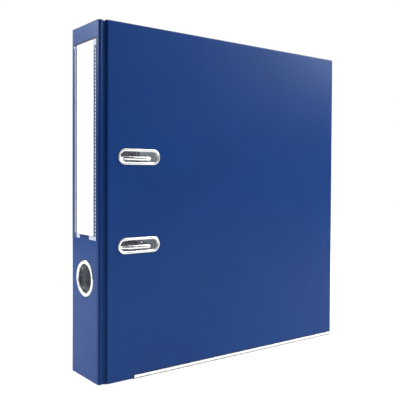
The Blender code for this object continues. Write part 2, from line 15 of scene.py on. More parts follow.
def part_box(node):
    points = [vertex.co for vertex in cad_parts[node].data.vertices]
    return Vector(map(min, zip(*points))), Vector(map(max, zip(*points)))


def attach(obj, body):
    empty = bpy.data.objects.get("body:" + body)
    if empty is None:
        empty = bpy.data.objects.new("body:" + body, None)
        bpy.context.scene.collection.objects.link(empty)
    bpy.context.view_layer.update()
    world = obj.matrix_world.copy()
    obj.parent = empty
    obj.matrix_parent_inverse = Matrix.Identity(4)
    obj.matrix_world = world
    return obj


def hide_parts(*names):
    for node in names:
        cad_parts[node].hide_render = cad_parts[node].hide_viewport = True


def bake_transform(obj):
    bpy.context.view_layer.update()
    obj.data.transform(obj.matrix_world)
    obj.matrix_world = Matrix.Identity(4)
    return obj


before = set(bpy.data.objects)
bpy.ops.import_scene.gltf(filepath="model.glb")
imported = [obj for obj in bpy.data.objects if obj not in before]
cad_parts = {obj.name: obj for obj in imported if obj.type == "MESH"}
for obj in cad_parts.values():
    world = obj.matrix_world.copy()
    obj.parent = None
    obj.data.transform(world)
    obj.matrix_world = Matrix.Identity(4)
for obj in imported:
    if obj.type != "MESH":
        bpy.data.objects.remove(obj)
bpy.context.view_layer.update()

MM = 0.001
COVER_START = 8.2
FOOT = 0.45

# The frame's place: the front foil starts at x 8.2, y 0 and z 0.45 in file coordinates
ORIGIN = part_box("front_outer_foil")[0] - Vector((COVER_START, 0.0, FOOT)) * MM


def node_span(node):
    """A CAD node's lowest and highest corners in file coordinates."""
    low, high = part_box(node)
    return (low - ORIGIN) / MM, (high - ORIGIN) / MM


# Covers and spine
DEPTH, _, HEIGHT = (round(v, 2) for v in node_span("front_outer_foil")[1])
THICKNESS = round(node_span("back_outer_foil")[1].y, 2)
PANEL = 2.8
FOIL = 0.4
TURN_IN = 14.0
ROOM_DEPTH = 2.4
WINDOW_DEPTHS = (1.8, 5.0)
EDGE_RADIUS = 1.0
BOARD_INSET = 0.5
BOARD_DEPTH = 2.3
SPINE_EDGE = round(node_span("spine_outer_foil")[0].y, 2)
SPINE_INSET = 0.35
SPINE_MIDDLE_Y = THICKNESS / 2
LINING_Y = THICKNESS - PANEL
STRIP_START = round(node_span("front_edge_protector")[0].x, 2)
STRIP_TOP = 3.6
STRIP_SHEET = 0.35

# Slots, finger ring and label pocket
HOLE_SPACING = 80.0
SLOT_Z = 161.4
SLOT_CENTRE_X = 40.75
SLOT_HALF_STRAIGHT = 14.55
SLOT_CUT = 5.4
SLOTS = [(SLOT_CENTRE_X, SLOT_Z + side * HOLE_SPACING / 2) for side in (-1, 1)]
FLANGE_RADIUS = 7.3
RING_Z = 91.4
RING_CUT = 13.75
RING_RADIUS = 16.6
POCKET_BOTTOM, POCKET_TOP = (round(corner.z, 2) for corner in node_span("label_pocket"))
FRONT_SEAM = 8.1
BACK_SEAM = 48.4
WELD_PITCH = 3.1
WELD_WIDTH = 8.4
FOOT_WELD = 3.6
FILM_FLAT = 0.40
FILM_RAISED = 0.82
FILM_RISE = 1.1

# Mechanism: z for heights up the file, rise for heights above the back cover's lining
ARCH_Z = 159.9
POST_X = 53.5
POST_RADIUS = 2.25
POSTS = [(POST_X, ARCH_Z + side * HOLE_SPACING / 2) for side in (-1, 1)]
AXIS_X = 21.5
AXIS_RISE = 4.6
WIRE_RADIUS = 1.9
LEVER_Z = 141.5
LEVER_RISE = 15.88
ROLLER_Z = 146.64
ROLLER_RISE = 9.75
RIVETS = ((21.0, 84.0), (63.0, 84.0), (21.0, 235.8), (63.0, 235.8))
RIVET_HOLE = 2.0
CLIPS = (("lower", 127.7), ("middle", 163.0), ("upper", 187.0))
LATCH_RIVET = (POST_X, 191.0)


# ---------------------------------------------------------------- materials


class Nodes:
    """A node tree, with short ways to add and join its nodes."""

    def __init__(self, tree):
        self.nodes = tree.nodes
        self.links = tree.links

    def add(self, kind, inputs=None, **settings):
        node = self.nodes.new("ShaderNode" + kind)
        for key, value in settings.items():
            setattr(node, key, value)
        for key, value in (inputs or {}).items():
            if isinstance(value, bpy.types.NodeSocket):
                self.links.new(value, node.inputs[key])
            else:
                node.inputs[key].default_value = value
        return node

    def blend(self, factor, first, second):
        """A mix of two colours, the first of them a socket or an RGB tuple."""
        if not isinstance(first, bpy.types.NodeSocket):
            first = (*first, 1.0)
        inputs = {"Factor": factor, 6: first, 7: (*second, 1.0)}
        return self.add("Mix", inputs, data_type="RGBA").outputs[2]


class Shader(Nodes):
    """A material's nodes; its constant values are set on the main shader's sockets."""

    def __init__(self, name, **values):
        self.material = bpy.data.materials.new(name)
        self.material.use_nodes = True
        super().__init__(self.material.node_tree)
        self.main = self.nodes["Principled BSDF"]
        self.coords = self.add("TexCoord").outputs["Object"]
        for key, value in values.items():
            self.main.inputs[key.replace("_", " ")].default_value = value

    def stretched(self, scale):
        return self.add("Mapping", {"Vector": self.coords, "Scale": scale}).outputs[0]

    def noise(self, scale, detail=2.0, vector=None):
        inputs = {"Vector": vector or self.coords, "Scale": scale, "Detail": detail}
        return self.add("TexNoise", inputs).outputs[0]

    def cells(self, scale):
        """Distance to the nearest of many scattered points."""
        inputs = {"Vector": self.coords, "Scale": scale}
        return self.add("TexVoronoi", inputs).outputs["Distance"]

    def span(self, value, low, high, to_low=0.0, to_high=1.0):
        """A value's place between two limits, held at both ends."""
        inputs = dict(enumerate((value, low, high, to_low, to_high)))
        return self.add("MapRange", inputs).outputs[0]

    def maths(self, operation, first, *others):
        """An operation on one value, or on several in turn."""
        for other in others or (0.0,):
            first = self.add("Math", {0: first, 1: other}, operation=operation).outputs[0]
        return first

    def place(self):
        """The shading point's x, y and z in file coordinates, millimetres."""
        inputs = {"Vector": self.coords, "Location": -ORIGIN / MM, "Scale": (1.0 / MM,) * 3}
        point = self.add("Mapping", inputs).outputs[0]
        return self.add("SeparateXYZ", {0: point}).outputs

    def away(self, value, middle):
        return self.maths("ABSOLUTE", self.maths("SUBTRACT", value, middle))

    def reach(self, a, b):
        """The length of a line from its two components."""
        squares = self.maths("ADD", self.maths("MULTIPLY", a, a), self.maths("MULTIPLY", b, b))
        return self.maths("SQRT", squares)

    def band(self, value, middle, half, strength):
        """A soft-edged band round a middle value: strength inside, nothing outside."""
        return self.span(self.away(value, middle), half, half + 0.35, strength, 0.0)

    def bump(self, height, strength, distance, under=None):
        inputs = {"Height": height, "Strength": strength, "Distance": distance}
        if under:
            inputs["Normal"] = under
        return self.add("Bump", inputs).outputs[0]

    def join(self, **outputs):
        for key, socket in outputs.items():
            self.links.new(socket, self.main.inputs[key.replace("_", " ")])
        return self.material


# What a cover's foil and the spine's foil add to the base colours, and how much they shine
COVER_CAST = (0.004, 0.0038, 0.001)
SPINE_CAST = (0.0, 0.0006, 0.0)
COVER_GLOSS = 0.17
SPINE_GLOSS = 0.165
FOIL_DEEP = (0.0046, 0.0355, 0.169)
FOIL_LIGHT = (0.0055, 0.0393, 0.185)
FOIL_GRAIN = (0.0080, 0.0480, 0.206)
# The dark navy of the painted shade lines on the foil
FOIL_SHADE_NAVY = (0.0, 0.001, 0.017)
NICKEL = ((0.90, 0.90, 0.90), (0.95, 0.95, 0.95))


def foil_material(name, marks=None, cast=COVER_CAST, gloss=COVER_GLOSS, tone=1.0):
    """Blue satin foil with a fine pressed grain over board that isn't quite flat.

    Painted shade darkens it along the top and bottom edges and along the marks.
    """
    s = Shader(name, Specular_IOR_Level=gloss, Specular_Tint=(0.6, 0.85, 1.0, 1.0))
    deep, light, grainy, shade_navy = (
        tuple(tone * (c + extra) for c, extra in zip(colour, cast))
        for colour in (FOIL_DEEP, FOIL_LIGHT, FOIL_GRAIN, FOIL_SHADE_NAVY)
    )
    colour = s.blend(s.span(s.noise(14.0, 3.0), 0.35, 0.65), deep, light)
    colour = s.blend(s.span(s.noise(1500.0), 0.55, 0.75, 0.0, 0.35), colour, grainy)
    x, y, z = s.place()
    # Painted shade: dark lines along the rounded top and bottom edges
    painted_shade = s.maths(
        "MAXIMUM",
        s.span(z, HEIGHT - 1.1, HEIGHT - 0.4, 0.0, 0.8),
        s.span(z, FOOT + 0.3, FOOT + 1.1, 0.8, 0.0),
    )
    if marks:
        painted_shade = s.maths("MAXIMUM", painted_shade, marks(s, x, y, z))
    colour = s.blend(painted_shade, colour, shade_navy)
    grain = s.maths("ADD", s.cells(1150.0), s.noise(1900.0, 3.0))
    rough = s.span(s.noise(420.0, 3.0), 0.3, 0.7, 0.28, 0.36)
    normal = s.bump(s.noise(55.0), 0.10, 0.0006)
    normal = s.bump(grain, 0.16, 0.00012, normal)
    return s.join(Base_Color=colour, Roughness=rough, Normal=normal)


def cover_shadow_lines(s, x, y, z):
    """Painted shadow lines above the edge strip and round the two slots' flanges."""
    strip = s.band(z, STRIP_TOP + 0.45, 0.3, 0.8)
    strip = s.maths("MULTIPLY", strip, s.span(x, STRIP_START - 0.5, STRIP_START))
    along = s.maths("SUBTRACT", s.away(x, SLOT_CENTRE_X), SLOT_HALF_STRAIGHT)
    along = s.maths("MAXIMUM", along, 0.0)
    across = s.maths("SUBTRACT", s.away(z, SLOT_Z), HOLE_SPACING / 2)
    rims = s.band(s.reach(along, across), FLANGE_RADIUS, 0.45, 0.7)
    return s.maths("MAXIMUM", strip, rims)


def spine_shadow_lines(s, x, y, z):
    """Painted shadow lines round the pocket's mouth and notch, beside the card and round the finger
    ring, and painted shadow dashes between the film's welds.
    """
    mouth = s.band(z, POCKET_TOP + 0.6, 0.55, 0.95)
    mouth = s.maths("MULTIPLY", mouth, s.band(y, SPINE_MIDDLE_Y, 23.0, 1.0))
    notch = s.band(z, POCKET_BOTTOM + 2.9, 0.55, 0.9)
    notch = s.maths("MULTIPLY", notch, s.band(y, SPINE_MIDDLE_Y, 8.0, 1.0))
    # Painted shadow between the welded dashes, beside the card and along the spine foil's edge
    wave = s.maths("SINE", s.maths("MULTIPLY", z, math.tau / WELD_PITCH))
    dashes = s.maths("MULTIPLY", s.span(wave, -0.3, 0.1), s.band(y, BACK_SEAM, 1.2, 0.97))
    seam_shadows = s.maths(
        "MULTIPLY",
        s.maths("MAXIMUM", dashes, s.band(y, FRONT_SEAM, 0.4, 0.8), s.band(y, 4.2, 0.3, 0.6)),
        s.span(z, POCKET_BOTTOM + 3.0, POCKET_BOTTOM + 4.0),
        s.span(z, POCKET_TOP - 1.0, POCKET_TOP, 1.0, 0.0),
    )
    out = s.reach(s.away(y, SPINE_MIDDLE_Y), s.away(z, RING_Z))
    return s.maths("MAXIMUM", mouth, notch, seam_shadows, s.band(out, RING_RADIUS, 0.45, 0.8))


def board_material():
    """Grey recycled board with fibres and dark specks."""
    s = Shader("recycled_board", Roughness=0.9)
    fibres = s.noise(600.0, 4.0, s.stretched((1.0, 6.0, 1.0)))
    colour = s.blend(fibres, (0.24, 0.225, 0.20), (0.40, 0.375, 0.34))
    colour = s.blend(s.span(s.cells(900.0), 0.06, 0.14, 0.7, 0.0), colour, (0.10, 0.095, 0.09))
    return s.join(Base_Color=colour, Normal=s.bump(fibres, 0.4, 0.0001))


def lining_material(name, tone):
    """Matt printed lining paper, light grey with a fine mottle."""
    s = Shader(name, Roughness=0.8, Specular_IOR_Level=0.3)
    mottle = s.noise(230.0, 5.0)
    dark, light, thread = (
        tuple(tone * c for c in colour)
        for colour in ((0.45, 0.475, 0.515), (0.54, 0.565, 0.61), (0.38, 0.40, 0.435))
    )
    colour = s.blend(s.span(mottle, 0.35, 0.65), dark, light)
    fibres = s.span(s.noise(900.0, 3.0, s.stretched((1.0, 1.0, 0.15))), 0.6, 0.72, 0.0, 0.5)
    colour = s.blend(fibres, colour, thread)
    return s.join(Base_Color=colour, Normal=s.bump(mottle, 0.25, 0.00008))


def card_material():
    """Smooth white card with a faint tooth."""
    s = Shader("white_card", Roughness=0.6, Specular_IOR_Level=0.3)
    tooth = s.noise(1300.0, 3.0)
    colour = s.blend(s.span(tooth, 0.3, 0.7), (0.90, 0.90, 0.90), (0.94, 0.94, 0.935))
    return s.join(Base_Color=colour, Normal=s.bump(tooth, 0.1, 0.00005))


def metal_material(name, colours, rough, stretch, dents, metallic=1.0):
    """Plated or bright metal: faint draw lines, soft variation in gloss and small dents."""
    s = Shader(name, Metallic=metallic)
    lines = s.noise(700.0, 3.0, s.stretched(stretch))
    colour = s.blend(s.span(s.noise(90.0, 3.0), 0.3, 0.7), *colours)
    gloss = s.span(s.maths("ADD", lines, s.noise(260.0, 3.0)), 0.7, 1.3, *rough)
    normal = s.bump(lines, 0.05, 0.00004)
    normal = s.bump(s.noise(120.0), dents, 0.0003, normal)
    return s.join(Base_Color=colour, Roughness=gloss, Normal=normal)


def marked_nickel(name, rough, marks):
    """Half-metal nickel whose white diffuse share is a painted reflection, with dark marks, each a
    share and a colour, laid over it in turn.
    """
    s = Shader(name, Metallic=0.6)
    colour = s.blend(s.span(s.noise(90.0, 3.0), 0.3, 0.7), *NICKEL)
    x, _, z = s.place()
    for share, mark in marks(s, x, z):
        colour = s.blend(share, colour, mark)
    return s.join(Base_Color=colour, Roughness=s.span(s.noise(260.0, 3.0), 0.3, 0.7, *rough))


def strip_shadow_marks(s, x, z):
    """Painted contact shadow along the foot that the strip stands on, broken into patches, and a dark
    patch at its cut end.
    """
    patchy = s.span(s.noise(420.0, 2.0, s.stretched((1.0, 0.1, 0.1))), 0.42, 0.58, 0.5, 1.0)
    foot = s.maths("MULTIPLY", s.span(z, 0.95, 1.45, 1.0, 0.0), patchy)
    end = s.span(x, STRIP_START + 0.5, STRIP_START + 0.9, 1.0, 0.0)
    return ((s.maths("MAXIMUM", foot, end), (0.035, 0.030, 0.028)),)


def ring_hole_shade(s, x, z):
    """Painted shade: a dark inner edge to the ring's rim, and darker metal down inside the finger
    hole.
    """
    return (
        (s.span(x, 0.2, 0.8, 0.0, 0.96), (0.04, 0.042, 0.048)),
        (s.span(x, 1.4, 2.0), (0.26, 0.275, 0.30)),
    )


def film_material():
    """Clear glossy film: mostly see-through face on, more of it glare at a slant."""
    s = Shader("clear_sheet", Specular_IOR_Level=0.5)
    haze = s.noise(60.0, 3.0)
    colour = s.blend(haze, (0.30, 0.36, 0.50), (0.40, 0.46, 0.60))
    facing = s.add("LayerWeight", {"Blend": 0.5}).outputs["Facing"]
    glare = s.maths("MULTIPLY", s.maths("POWER", facing, 4.0), 0.4)
    alpha = s.maths("ADD", s.span(haze, 0.3, 0.7, 0.02, 0.04), glare)
    rough = s.span(s.noise(200.0), 0.3, 0.7, 0.08, 0.16)
    return s.join(Base_Color=colour, Alpha=alpha, Roughness=rough, Normal=s.bump(haze, 0.1, 0.0005))


def weld_and_glare_material():
    """Film where the welding tool has pressed it: whiter and more solid. Also used for a painted
    highlight on the pocket.
    """
    s = Shader("welded_sheet_and_glare", Specular_IOR_Level=0.5)
    haze = s.noise(900.0, 3.0)
    colour = s.blend(haze, (0.60, 0.66, 0.86), (0.80, 0.84, 0.98))
    alpha = s.span(haze, 0.3, 0.7, 0.52, 0.72)
    rough = s.span(haze, 0.3, 0.7, 0.12, 0.3)
    return s.join(Base_Color=colour, Alpha=alpha, Roughness=rough, Normal=s.bump(haze, 0.2, 0.0001))


def floor_material():
    """A light table: it glows almost white by itself, so that shadows on it stay faint."""
    glow = {"Emission_Color": (1.0, 1.0, 1.0, 1.0), "Emission_Strength": 0.82}
    s = Shader("studio_floor", Roughness=0.8, Specular_IOR_Level=0.1, **glow)
    return s.join(Base_Color=s.blend(s.noise(2.0), (0.24, 0.24, 0.24), (0.25, 0.25, 0.25)))


ALONG_Z = (1.0, 1.0, 12.0)
ALONG_YZ = (1.0, 9.0, 9.0)

FOIL_LOOK = foil_material("satin_foil", cover_shadow_lines)
SPINE_LOOK = foil_material("spine_foil_satin", spine_shadow_lines, SPINE_CAST, SPINE_GLOSS)
CORNER_LOOK = foil_material("corner_foil_satin", None, SPINE_CAST, SPINE_GLOSS)
BACK_LOOK = foil_material("back_foil_satin")
# A darker copy of the cover foil for the front hinge: painted shade in the hinge groove
HINGE_LOOK = foil_material("shaded_hinge_foil", gloss=0.1, tone=0.72)
BOARD_LOOK = board_material()
# Two copies of one lining paper: the back lining is painted lighter, painted light inside the file
# behind the slots; the others are painted darker, painted shade inside the file
DIM_LINING_LOOK = lining_material("printed_lining", 0.78)
BRIGHT_BACK_LINING_LOOK = lining_material("printed_back_lining", 1.25)
CARD_LOOK = card_material()
NICKEL_LOOK = metal_material(
    "polished_nickel", ((0.74, 0.73, 0.71), (0.84, 0.83, 0.82)), (0.09, 0.17), ALONG_Z, 0.05
)
CHROME_LOOK = metal_material(
    "polished_chrome", ((0.83, 0.83, 0.83), (0.90, 0.90, 0.91)), (0.05, 0.11), ALONG_YZ, 0.04
)
# Metallic 0.6 over near-white nickel: part real reflection, and a white diffuse share that is a
# painted reflection of the white studio
RIM_LOOK = metal_material("whitened_nickel", NICKEL, (0.20, 0.28), ALONG_YZ, 0.0, 0.6)
# The plate is a much darker, half-metal steel than the other metal parts
PLATE_LOOK = metal_material(
    "dark_grey_steel", ((0.34, 0.35, 0.38), (0.42, 0.43, 0.46)), (0.20, 0.30), ALONG_Z, 0.03, 0.5
)
STRIP_LOOK = marked_nickel("strip_nickel", (0.20, 0.28), strip_shadow_marks)
RING_LOOK = marked_nickel("ring_nickel", (0.22, 0.30), ring_hole_shade)
STEEL_LOOK = metal_material(
    "spring_steel", ((0.55, 0.55, 0.55), (0.70, 0.70, 0.69)), (0.22, 0.34), (1.0, 1.0, 14.0), 0.08
)
FILM_LOOK = film_material()
WELD_AND_GLARE_LOOK = weld_and_glare_material()


# ---------------------------------------------------------------- mesh tools


def in_frame(point):
    return ORIGIN + Vector(point) * MM


def rise(height):
    """The y of a point at this height above the back cover's lining."""
    return LINING_Y - height


def raised(profile):
    """Points whose second numbers are heights above the back cover's lining."""
    return [(a, rise(height)) for a, height in profile]


def on_side(y, flip):
    """A distance from the front cover's outer face, or from the back's if it's flipped."""
    return THICKNESS - y if flip else y


def shade(mesh, angle):
    mesh.shade_smooth()
    mesh.set_sharp_from_angle(angle=math.radians(angle))


def add_object(name, data):
    item = bpy.data.objects.new(name, data)
    bpy.context.scene.collection.objects.link(item)
    return item


def make(name, bm, look, angle=35.0):
    """An object from a bmesh in file coordinates."""
    bmesh.ops.remove_doubles(bm, verts=bm.verts, dist=0.0008)
    bmesh.ops.recalc_face_normals(bm, faces=bm.faces)
    bm.transform(Matrix.Translation(ORIGIN) @ Matrix.Scale(MM, 4))
    mesh = bpy.data.meshes.new(name)
    bm.to_mesh(mesh)
    bm.free()
    if look:
        mesh.materials.append(look)
    shade(mesh, angle)
    return add_object(name, mesh)


def settle(item, angle=35.0, even=True):
    """Applies the modifiers, and evens the shading of large flat faces beside small bevels."""
    graph = bpy.context.evaluated_depsgraph_get()
    mesh = bpy.data.meshes.new_from_object(item.evaluated_get(graph))
    item.modifiers.clear()
    old = item.data
    item.data = mesh
    bpy.data.meshes.remove(old)
    mesh.name = item.name
    shade(mesh, angle)
    if even:
        item.modifiers.new("even_shading", "WEIGHTED_NORMAL").keep_sharp = True
    return item


def bevel(item, width, segments=3, angle=50.0):
    modifier = item.modifiers.new("edge_round", "BEVEL")
    modifier.width = width * MM
    modifier.segments = segments
    modifier.limit_method = "ANGLE"
    modifier.angle_limit = math.radians(angle)
    return item


def cut(target, *tools, operation="DIFFERENCE"):
    """Cuts tools from a target, or joins them to it, and removes the tools."""
    for tool in tools:
        modifier = target.modifiers.new(tool.name, "BOOLEAN")
        modifier.operation = operation
        modifier.solver = "EXACT"
        modifier.object = tool
    settle(target, even=False)
    for tool in tools:
        bpy.data.objects.remove(tool, do_unlink=True)
    return target


def block(name, low, high, look=None):
    bm = bmesh.new()
    bmesh.ops.create_cube(bm, size=1.0)
    low, high = Vector(low), Vector(high)
    for v in bm.verts:
        v.co = (low + high) / 2 + v.co * (high - low)
    return make(name, bm, look)


def oriented(axis, a, b, along):
    """A point from two coordinates across an axis and one along it."""
    return Vector({"X": (along, a, b), "Y": (a, along, b), "Z": (a, b, along)}[axis])


def draw_out(bm, outline, axis, start, end):
    """Adds a closed outline, given across an axis, drawn out from start to end along it."""
    face = bm.faces.new([bm.verts.new(oriented(axis, a, b, start)) for a, b in outline])
    drawn = bmesh.ops.extrude_face_region(bm, geom=[face])
    moved = [v for v in drawn["geom"] if isinstance(v, bmesh.types.BMVert)]
    bmesh.ops.translate(bm, verts=moved, vec=oriented(axis, 0.0, 0.0, end - start))


def prism(name, outline, axis, start, end, look=None):
    bm = bmesh.new()
    draw_out(bm, outline, axis, start, end)
    return make(name, bm, look)


def ribbon(path, thickness):
    """The outline of a strip of even thickness that follows a path."""
    left, right = [], []
    for i, point in enumerate(path):
        here = Vector(point)
        before = here - Vector(path[i - 1]) if i else None
        after = Vector(path[i + 1]) - here if i < len(path) - 1 else None
        into = (before or after).normalized()
        out = (after or before).normalized()
        normal = Vector((-(into + out).y, (into + out).x)).normalized()
        stretch = 1.0 / max(normal.dot(Vector((-into.y, into.x))), 0.4)
        left.append(here + normal * thickness / 2 * stretch)
        right.append(here - normal * thickness / 2 * stretch)
    return left + right[::-1]


def filleted(corners, steps):
    """A path through corners given as (point, bend radius), with an arc at each bend."""
    path = [Vector(corners[0][0])]
    for (a, _), (b, radius), (c, _) in zip(corners, corners[1:], corners[2:]):
        into = (Vector(b) - Vector(a)).normalized()
        out = (Vector(c) - Vector(b)).normalized()
        turn = into.angle(out)
        start = Vector(b) - into * radius * math.tan(turn / 2)
        inward = (out - into * into.dot(out)).normalized()
        centre = start + inward * radius
        for j in range(steps + 1):
            angle = turn * j / steps
            path.append(centre - inward * radius * math.cos(angle) + into * radius * math.sin(angle))
    path.append(Vector(corners[-1][0]))
    return path


def arc(centre, radius, first, last, steps):
    """Points round part of a circle, between two angles in degrees."""
    angles = (math.radians(first + (last - first) * i / steps) for i in range(steps + 1))
    return [(centre[0] + radius * math.cos(a), centre[1] + radius * math.sin(a)) for a in angles]


def rounded_rectangle(a_range, b_range, radius, steps):
    outline = []
    left, right = a_range[0] + radius, a_range[1] - radius
    foot, top = b_range[0] + radius, b_range[1] - radius
    for a, b, first in ((right, top, 0), (left, top, 90), (left, foot, 180), (right, foot, 270)):
        outline += arc((a, b), radius, first, first + 90, steps)
    return outline


def stadium(radius, half_straight, steps):
    """Points round a slot with semicircular ends, or round a circle, as (along, across)."""
    points = []
    for sign, first in ((1, -90), (-1, 90)):
        end = arc((sign * half_straight, 0.0), radius, first, first + 180, steps)
        points += end if half_straight else end[:-1]
    return points


def curve_through(points, steps):
    """A smooth line through points, by Catmull-Rom."""
    points = [Vector(p) for p in points]
    padded = [points[0]] + points + [points[-1]]
    line = []
    for a, b, c, d in zip(padded, padded[1:], padded[2:], padded[3:]):
        for j in range(steps):
            t = j / steps
            line.append(
                b + (c - a) * 0.5 * t + (a - b * 2.5 + c * 2 - d * 0.5) * t * t
                + (b * 1.5 - a * 0.5 - c * 1.5 + d * 0.5) * t * t * t
            )
    return line + points[-1:]


def skin(bm, rings, loop=False):
    """Adds faces between rings of points; the last joins the first, or both ends are capped."""
    rows = [[bm.verts.new(p) for p in ring] for ring in rings]
    for row, following in zip(rows, rows[1:] + (rows[:1] if loop else [])):
        for j, corner in enumerate(row):
            k = (j + 1) % len(row)
            bm.faces.new((corner, row[k], following[k], following[j]))
    if not loop:
        bm.faces.new(rows[0])
        bm.faces.new(rows[-1])


def loft(name, rings, look, angle, loop=False):
    bm = bmesh.new()
    skin(bm, rings, loop)
    return make(name, bm, look, angle)


def collar(name, profile, axis, centre, half_straight, look, steps):
    """A ring, round or slot-shaped, from a closed profile of (radius, position along the axis)."""
    rings = [
        [
            oriented(axis, centre[0] + a, centre[1] + b, along)
            for a, b in stadium(radius, half_straight, steps)
        ]
        for radius, along in profile
    ]
    return loft(name, rings, look, 50.0, loop=True)


def turned(name, profile, axis, centre, look, steps):
    """A solid of revolution; its profile of (radius, along) starts and ends on the axis."""
    bm = bmesh.new()
    verts = [bm.verts.new(oriented(axis, radius, 0.0, along)) for radius, along in profile]
    edges = [bm.edges.new(pair) for pair in zip(verts, verts[1:])]
    spin_axis = oriented(axis, 0.0, 0.0, 1.0)
    bmesh.ops.spin(
        bm, geom=verts + edges, cent=(0, 0, 0), axis=spin_axis, angle=math.tau, steps=steps
    )
    bmesh.ops.translate(bm, verts=bm.verts, vec=oriented(axis, centre[0], centre[1], 0.0))
    return make(name, bm, look, 40.0)


def tube(name, path, radius, look, sides):
    """A round rod with slightly domed ends along a path."""
    path = [Vector(p) for p in path]
    last = len(path) - 1
    tangents = [(path[min(i + 1, last)] - path[max(i - 1, 0)]).normalized() for i in range(last + 1)]
    side = tangents[0].orthogonal().normalized()
    rings = []
    for i, (point, tangent) in enumerate(zip(path, tangents)):
        side = (side - tangent * side.dot(tangent)).normalized()
        other = tangent.cross(side)
        domes = [(0.0, 1.0)]
        if i == 0:
            domes = [(0.0, 0.55), (0.12, 0.85), (0.35, 1.0)]
        elif i == last:
            domes = [(-0.35, 1.0), (-0.12, 0.85), (0.0, 0.55)]
        for along, share in domes:
            middle = point + tangent * along * radius
            rings.append([
                middle + (side * math.cos(a) + other * math.sin(a)) * radius * share
                for a in (math.tau * j / sides for j in range(sides))
            ])
    return loft(name, rings, look, 60.0)


def cutter(places, radius, axis, along, steps=20, half_straight=0.0):
    """Parallel round or slot-shaped cutters in one mesh."""
    bm = bmesh.new()
    for centre in places:
        outline = [(centre[0] + a, centre[1] + b) for a, b in stadium(radius, half_straight, steps)]
        draw_out(bm, outline, axis, *along)
    return make("cutter", bm, None)


def declare(item, *nodes):
    """The piece stands for CAD nodes, which are hidden."""
    if nodes:
        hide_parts(*nodes)


def keep(item, body, *nodes):
    """The piece moves with a body."""
    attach(item, body)
    declare(item, *nodes)


# ---------------------------------------------------------------- covers and spine


def cover_box(name, flip, inset, depths, look=None, start=None):
    """A box set in from a cover's edges, between two depths from the cover's outer face."""
    near, far = sorted(on_side(y, flip) for y in depths)
    start = COVER_START + inset if start is None else start
    return block(name, (start, near, FOOT + inset), (DEPTH - inset, far, HEIGHT - inset), look)


def cover_holes(flip):
    """Cutters for the front cover's two slots, or for the back cover's four rivets."""
    if flip:
        return cutter(RIVETS, RIVET_HOLE, "Y", (40.0, 60.0), 12)
    return cutter(SLOTS, SLOT_CUT, "Y", (-2.0, 5.0), 20, SLOT_HALF_STRAIGHT)


def cover_foil(name, flip, look):
    """Foil pulled round a cover's board and turned in on its inner side."""
    holes = cover_holes(flip)
    foil = cover_box(name, flip, 0.0, (0.0, PANEL), look)
    settle(bevel(foil, EDGE_RADIUS, 5, 40.0), even=False)
    room = cover_box("room", flip, FOIL, (FOIL, ROOM_DEPTH))
    window = cover_box("window", flip, TURN_IN, WINDOW_DEPTHS, start=COVER_START - 3.0)
    return settle(cut(foil, room, window, holes))


def cover_board(name, flip):
    holes = cover_holes(flip)
    board = cover_box(name, flip, BOARD_INSET, (BOARD_INSET, BOARD_DEPTH), BOARD_LOOK)
    settle(bevel(board, 0.3, 2, 40.0), even=False)
    return cut(board, holes)


def spine_foil():
    """Foil over the spine's outer face, turned in at its top and foot."""
    ends = (FOOT + SPINE_INSET, HEIGHT - SPINE_INSET)
    outline = rounded_rectangle((0.0, PANEL), ends, EDGE_RADIUS, 6)
    foil = prism("spine_foil", outline, "Y", SPINE_EDGE, THICKNESS - SPINE_EDGE, SPINE_LOOK)
    near, far = 3.0, THICKNESS - 3.0
    out, through = WINDOW_DEPTHS
    room = block("room", (FOIL, near, FOOT + FOIL), (ROOM_DEPTH, far, HEIGHT - FOIL))
    window = block("window", (out, near, FOOT + TURN_IN), (through, far, HEIGHT - TURN_IN))
    hole = cutter([(SPINE_MIDDLE_Y, RING_Z)], RING_CUT, "X", (-2.0, 5.0), 48)
    return settle(cut(foil, room, window, hole))


# The hinge's outer face from the spine's rounded edge over a narrow ridge and down into the
# groove beside the cover, and its inner face from the spine board's edge to the cover's
HINGE_OUTER = (
    (1.6, 0.02), (2.2, 0.02), (2.75, 0.03), (3.0, 0.12), (3.08, 0.7), (3.3, 1.25), (4.1, 1.5),
    (5.0, 1.55), (6.1, 1.55), (7.1, 1.5), (7.8, 1.42), (8.35, 1.3),
)
HINGE_INNER = (
    (2.8, 4.0), (2.86, 3.5), (3.1, 3.05), (3.6, 2.75), (4.4, 2.62), (5.4, 2.58), (6.6, 2.6),
    (7.6, 2.66), (8.35, 2.72),
)
HINGE_DIP = 1.5
HINGE_BEND = 1.3
GROOVE_X = 5.6
GROOVE_HALF = 2.3


def resampled(line, count):
    """Evenly spaced points along a polyline."""
    lengths = [0.0]
    for a, b in zip(line, line[1:]):
        lengths.append(lengths[-1] + (b - a).length)
    points = []
    j = 0
    for i in range(count):
        at = lengths[-1] * i / (count - 1)
        while j < len(line) - 2 and lengths[j + 1] < at:
            j += 1
        step = lengths[j + 1] - lengths[j]
        points.append(line[j].lerp(line[j + 1], (at - lengths[j]) / step if step else 0.0))
    return points


def hinge_lines():
    """Matching points along the hinge's outer and inner faces, as (x, y)."""
    corner = [(0.0, 4.0), (0.0, 3.4)] + arc((HINGE_BEND, HINGE_BEND), HINGE_BEND, 180, 260, 8)
    outer = curve_through(corner + list(HINGE_OUTER), 4)
    return resampled(outer, 44), resampled(curve_through(HINGE_INNER, 6), 44)


def section(at, across, outline, flip):
    """A ring of a hinge: an outline of (distance across, z) at one point of its line."""
    ring = []
    for distance, z in outline:
        p = at + across * distance
        ring.append((p.x, on_side(p.y, flip), z))
    return ring


